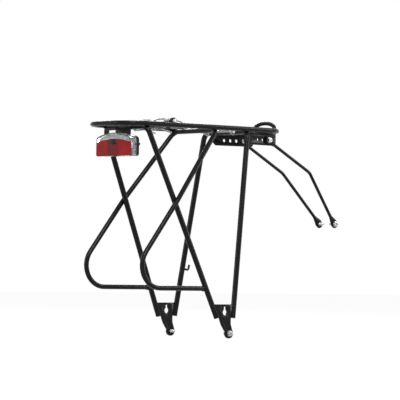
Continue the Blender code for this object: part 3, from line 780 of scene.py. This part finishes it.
light = {"cupWall": 0.0010, "cupBack": 0.0010, "lensKeep": 0.62, "holeRadius": 0.0048,
         "redDepth": 0.0032, "zoneSpread": 1.16, "zoneAhead": 0.002}
flutes = {"count": 11, "radius": 0.0018, "span": 0.062, "inset": 0.0030, "fall": 0.0065,
          "margin": 0.004, "height": 0.0085}
prisms = {"step": 0.0022, "height": 0.0005, "margin": 0.002, "foot": 0.0012, "crown": 0.0018,
          "fall": 0.0063, "sink": 0.0004, "panelHalf": 0.0165}
hood = {"half": 0.0098, "height": 0.0078, "thick": 0.0012, "ahead": 0.0004, "raise": 0.0002,
        "bend": 0.0042, "edge": 0.0003, "lensShare": 0.82}
button = {"radius": 0.0018, "capRadius": 0.0026, "capHeight": 0.0026}


def resizeAbout(piece, value, centre):  # edit-mode resize about a fixed point
    pick(piece)
    bpy.ops.object.mode_set(mode="EDIT")
    bpy.ops.mesh.select_all(action="SELECT")
    bpy.ops.transform.resize(value=value, center_override=centre)
    bpy.ops.object.mode_set(mode="OBJECT")


def redZone(name):  # the block that parts the red face of the cover from its clear part
    low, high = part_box("light_red_lens")
    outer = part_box("light_cover")[0]
    zone = copyOf("light_red_lens", name, 0)
    deep = (light["redDepth"] + light["zoneAhead"]) / (high.x - low.x)
    resizeAbout(zone, (deep, light["zoneSpread"], light["zoneSpread"]), (low.x, 0, high.z))
    zone.location.x = outer.x + light["redDepth"] - (low.x + deep * (high.x - low.x))
    settle(zone)
    return plugLampHole(zone)


def plugLampHole(zone):  # the lamp's hole isn't wanted in the cover
    low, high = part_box("light_led")
    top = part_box("light_red_lens")[1].z
    height = top - (top - (low.z + high.z) / 2) * light["zoneSpread"]
    depths = [vertex.co.x for vertex in zone.data.vertices]
    bpy.ops.mesh.primitive_cylinder_add(vertices=32, radius=light["holeRadius"] * light["zoneSpread"],
                                        depth=max(depths) - min(depths),
                                        location=((max(depths) + min(depths)) / 2, 0, height),
                                        rotation=(0, pi / 2, 0))
    plug = bpy.context.active_object
    settle(plug)
    cutWith(zone, plug, "UNION")
    return zone


def buildShells():
    base = copyOf("light_base", "lightBaseShell", 0.0005)
    mount(base, "light_base", "black_plastic")
    cover = copyOf("light_cover", "lightClearCover", 0)
    face = twin(cover, "lightRedFace")
    cutWith(cover, redZone("zoneForClear"))
    roundEdges(cover, 0.0005, 3)
    smooth(cover, 40)
    mount(cover, "light_cover", "clear_plastic")
    cutWith(face, redZone("zoneForRed"), "INTERSECT")
    roundEdges(face, 0.0005, 3)
    smooth(face, 40)
    mount(face, "light_cover", "red_plastic")


def buildCup():
    low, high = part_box("light_reflector")
    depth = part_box("light_cover")[1].x - fit["gap"] - low.x
    thick = high.x - low.x
    middle = (low + high) / 2
    cup = copyOf("light_reflector", "lightSilverCup", 0)
    resizeAbout(cup, (depth / thick, 1, 1), (low.x, middle.y, middle.z))
    hollow = copyOf("light_reflector", "cupHollow", 0)
    narrow = 1 - light["cupWall"] / (high.y - middle.y)
    lower = 1 - light["cupWall"] / (high.z - middle.z)
    resizeAbout(hollow, (depth / thick, narrow, lower), (low.x, middle.y, middle.z))
    hollow.location.x = light["cupBack"]
    settle(hollow)
    cutWith(cup, hollow)
    pieces = [cup]
    for index in range(flutes["count"]):
        across = flutes["span"] * (index / (flutes["count"] - 1) - 0.5)
        reach = abs(across) / (high.y - flutes["margin"])
        rise = high.z - flutes["inset"] - flutes["fall"] * reach ** 2
        size, tall = flutes["radius"], flutes["height"]
        foot = rise - tall
        rings = [(size * 0.4, 0), (size * 0.8, 0.0006), (size, 0.0016), (size, tall - 0.0016),
                 (size * 0.8, tall - 0.0006), (size * 0.4, tall)]
        flute = ringStack("flute", rings, 20)
        layAlong(flute, Vector((low.x + size * 0.35, across, foot)), (0, 0, 1))
        pieces.append(flute)
    cup = joinAll("lightSilverCup", pieces)
    smooth(cup, 40)
    mount(cup, "light_reflector", "silver_plastic")


def buildRedField():
    low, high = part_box("light_red_lens")
    lens = copyOf("light_red_lens", "redPlate", 0.0002)
    resizeAbout(lens, (light["lensKeep"], 1, 1), (high.x, 0, 0))
    face = high.x - (high.x - low.x) * light["lensKeep"]
    step = prisms["step"]
    wide = int((high.y - low.y - prisms["margin"]) / step)
    tall = int((high.z - low.z - prisms["margin"]) / step)
    bpy.ops.mesh.primitive_grid_add(x_subdivisions=wide, y_subdivisions=tall, size=1,
                                    location=(0, 0, 0))
    grid = bpy.context.active_object
    grid.name = "reflexPrisms"
    grid.scale = (wide * step, tall * step, 1)
    settle(grid)
    middle = low.z + prisms["foot"] + tall * step / 2
    grid.matrix_world = (Matrix.Translation((face, 0, middle))
                         @ Matrix(((0, 0, -1, 0), (1, 0, 0, 0), (0, 1, 0, 0), (0, 0, 0, 1))))
    settle(grid)
    crown = high.z - prisms["crown"]
    pick(grid)
    bpy.ops.object.mode_set(mode="EDIT")
    bpy.ops.mesh.select_mode(type="FACE")
    bpy.ops.mesh.select_all(action="DESELECT")
    bpy.ops.object.mode_set(mode="OBJECT")
    for cell in grid.data.polygons:
        top = crown - prisms["fall"] * (cell.center.y / high.y) ** 2
        cell.select = cell.center.z > top or abs(cell.center.y) < prisms["panelHalf"]
    bpy.ops.object.mode_set(mode="EDIT")
    bpy.ops.mesh.delete(type="FACE")
    bpy.ops.mesh.select_all(action="SELECT")
    bpy.ops.mesh.extrude_region_move(TRANSFORM_OT_translate={"value": (prisms["sink"], 0, 0)})
    bpy.ops.mesh.select_all(action="SELECT")
    bpy.ops.mesh.normals_make_consistent(inside=False)
    bpy.ops.mesh.select_all(action="DESELECT")
    bpy.ops.object.mode_set(mode="OBJECT")
    for cell in grid.data.polygons:
        cell.select = cell.normal.x < -0.9
    bpy.ops.object.mode_set(mode="EDIT")
    bpy.ops.mesh.poke(offset=prisms["height"])
    bpy.ops.mesh.select_mode(type="VERT")
    bpy.ops.object.mode_set(mode="OBJECT")
    field = joinAll("lightRedField", [lens, grid])
    smooth(field, 20)
    mount(field, "light_red_lens", "red_plastic")


def buildLampWindow():
    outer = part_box("light_cover")[0].x
    low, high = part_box("light_led")
    middle = (low + high) / 2
    bpy.ops.mesh.primitive_cube_add(size=1, location=(outer + hood["ahead"], middle.y,
                                                      middle.z + hood["raise"]))
    shade = bpy.context.active_object
    shade.scale = (hood["thick"], hood["half"] * 2, hood["height"])
    settle(shade)
    bpy.ops.object.mode_set(mode="EDIT")
    bpy.ops.mesh.select_all(action="DESELECT")
    bpy.ops.object.mode_set(mode="OBJECT")
    for edge in shade.data.edges:
        first, second = (shade.data.vertices[i].co for i in edge.vertices)
        edge.select = abs(first.x - second.x) > 0.0005 and first.z > middle.z
    bpy.ops.object.mode_set(mode="EDIT")
    bpy.ops.mesh.bevel(offset=hood["bend"], segments=8, affect="EDGES")
    bpy.ops.object.mode_set(mode="OBJECT")
    roundEdges(shade, hood["edge"], 2)
    radius = (high.y - low.y) / 2 * hood["lensShare"]
    rings = [(radius, 0), (radius, 0.0008), (radius * 0.94, 0.0013), (radius * 0.8, 0.0017),
             (radius * 0.55, 0.0020), (radius * 0.25, 0.00215)]
    lens = ringStack("lampLens", rings, 40)
    layAlong(lens, Vector((outer + 0.0013, middle.y, middle.z - 0.0002)), (-1, 0, 0))
    window = joinAll("lightLampWindow", [shade, lens])
    smooth(window, 40)
    mount(window, "light_led", "led_dark")


def buildButton():
    low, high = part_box("light_button")
    middle = (low + high) / 2
    size, cap = button["radius"], button["capRadius"]
    length = high.y - low.y
    under = length - button["capHeight"]
    rings = [(size * 0.9, 0), (size, 0.0003), (size, under), (cap * 0.94, under),
             (cap, under + 0.0003), (cap, length - 0.0009), (cap * 0.93, length - 0.0004),
             (cap * 0.78, length - 0.0001), (cap * 0.5, length)]
    made = ringStack("lightPushButton", rings, 36)
    layAlong(made, Vector((middle.x, high.y, middle.z)), (0, -1, 0))
    smooth(made, 60)
    mount(made, "light_button", "black_rubber")


buildShells()
buildCup()
buildRedField()
buildLampWindow()
buildButton()
print("light built")

welds = joinAll("weldBeads", weldPieces)
wear(welds, surfaces["black_paint"])
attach(welds, "rack")
print("welds joined")


# stage, lamps and camera

stage = {"floorSize": 14, "drop": 0.0002, "pale": 0.86, "lift": 0.95, "ambient": 0.28}
lamps = (("keyLamp", (-1.6, -2.6, 2.4), (0.9, 1.5), 92),
         ("fillLamp", (-3.2, 1.2, 1.3), (0.6, 1.6), 34),
         ("topLamp", (0.4, 0.2, 2.6), (1.6, 0.9), 40),
         ("rimLamp", (2.2, -1.6, 1.4), (0.4, 1.8), 34),
         ("backLamp", (1.6, 2.4, 1.5), (0.6, 1.6), 26))
lampTarget = (-0.03, 0, 0.2)
cameraSettings = {"place": (-3.1130, -3.8951, 0.1171), "ahead": (0.62383, 0.78115, 0.02534),
                  "roll": 0.894, "lens": 243.44, "sensor": 36}


def seenRays(tree):  # 1 for rays from the camera, a mirror or glass
    path = tree.nodes.new("ShaderNodeLightPath")
    total = path.outputs["Is Camera Ray"]
    for label in ("Is Glossy Ray", "Is Transmission Ray"):
        node = tree.nodes.new("ShaderNodeMath")
        node.operation = "MAXIMUM"
        tree.links.new(total, node.inputs[0])
        tree.links.new(path.outputs[label], node.inputs[1])
        total = node.outputs["Value"]
    return total


def buildStage():
    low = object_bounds()[0]
    bpy.ops.mesh.primitive_plane_add(size=stage["floorSize"],
                                     location=(0, 0, low.z - stage["drop"]))
    floor = bpy.context.active_object
    floor.name = "studioFloor"
    settle(floor)
    surface = bpy.data.materials.new("paleFloor")
    surface.use_nodes = True
    tree = surface.node_tree
    shader = tree.nodes["Principled BSDF"]
    shader.inputs["Base Color"].default_value = (stage["pale"],) * 3 + (1,)
    shader.inputs["Roughness"].default_value = 0.9
    glow = tree.nodes.new("ShaderNodeEmission")
    glow.inputs["Color"].default_value = (1, 1, 1, 1)
    blend = tree.nodes.new("ShaderNodeMixShader")
    amount = tree.nodes.new("ShaderNodeMath")
    amount.operation = "MULTIPLY"
    amount.inputs[1].default_value = stage["lift"]
    tree.links.new(seenRays(tree), amount.inputs[0])
    tree.links.new(amount.outputs["Value"], blend.inputs["Fac"])
    tree.links.new(shader.outputs["BSDF"], blend.inputs[1])
    tree.links.new(glow.outputs["Emission"], blend.inputs[2])
    tree.links.new(blend.outputs["Shader"], tree.nodes["Material Output"].inputs["Surface"])
    floor.data.materials.append(surface)
    world = bpy.data.worlds.new("studioWorld")
    bpy.context.scene.world = world
    world.use_nodes = True
    tree = world.node_tree
    back = tree.nodes["Background"]
    back.inputs["Color"].default_value = (1, 1, 1, 1)
    level = tree.nodes.new("ShaderNodeMapRange")
    level.inputs["To Min"].default_value = stage["ambient"]
    level.inputs["To Max"].default_value = 1.0
    tree.links.new(seenRays(tree), level.inputs["Value"])
    tree.links.new(level.outputs["Result"], back.inputs["Strength"])


def buildLamps():
    for name, place, size, power in lamps:
        light = bpy.data.lights.new(name, "AREA")
        light.shape = "RECTANGLE"
        light.size, light.size_y = size
        light.energy = power
        lamp = bpy.data.objects.new(name, light)
        lamp.location = place
        lamp.rotation_euler = (Vector(lampTarget) - Vector(place)).to_track_quat("-Z", "Y").to_euler()
        bpy.context.scene.collection.objects.link(lamp)


def buildCamera():
    ahead = Vector(cameraSettings["ahead"]).normalized()
    right = ahead.cross(Vector((0, 0, 1))).normalized()
    up = right.cross(ahead)
    turn = radians(cameraSettings["roll"])
    tiltedRight = right * cos(turn) + up * sin(turn)
    tiltedUp = up * cos(turn) - right * sin(turn)
    lens = bpy.data.cameras.new("studioCamera")
    lens.lens = cameraSettings["lens"]
    lens.sensor_width = cameraSettings["sensor"]
    lens.clip_end = 60
    camera = bpy.data.objects.new("studioCamera", lens)
    basis = Matrix((tiltedRight, tiltedUp, -ahead)).transposed().to_4x4()
    camera.matrix_world = Matrix.Translation(cameraSettings["place"]) @ basis
    bpy.context.scene.collection.objects.link(camera)
    bpy.context.scene.camera = camera


buildStage()
buildLamps()
buildCamera()
bpy.context.scene.view_settings.view_transform = "Standard"
print("stage ready")
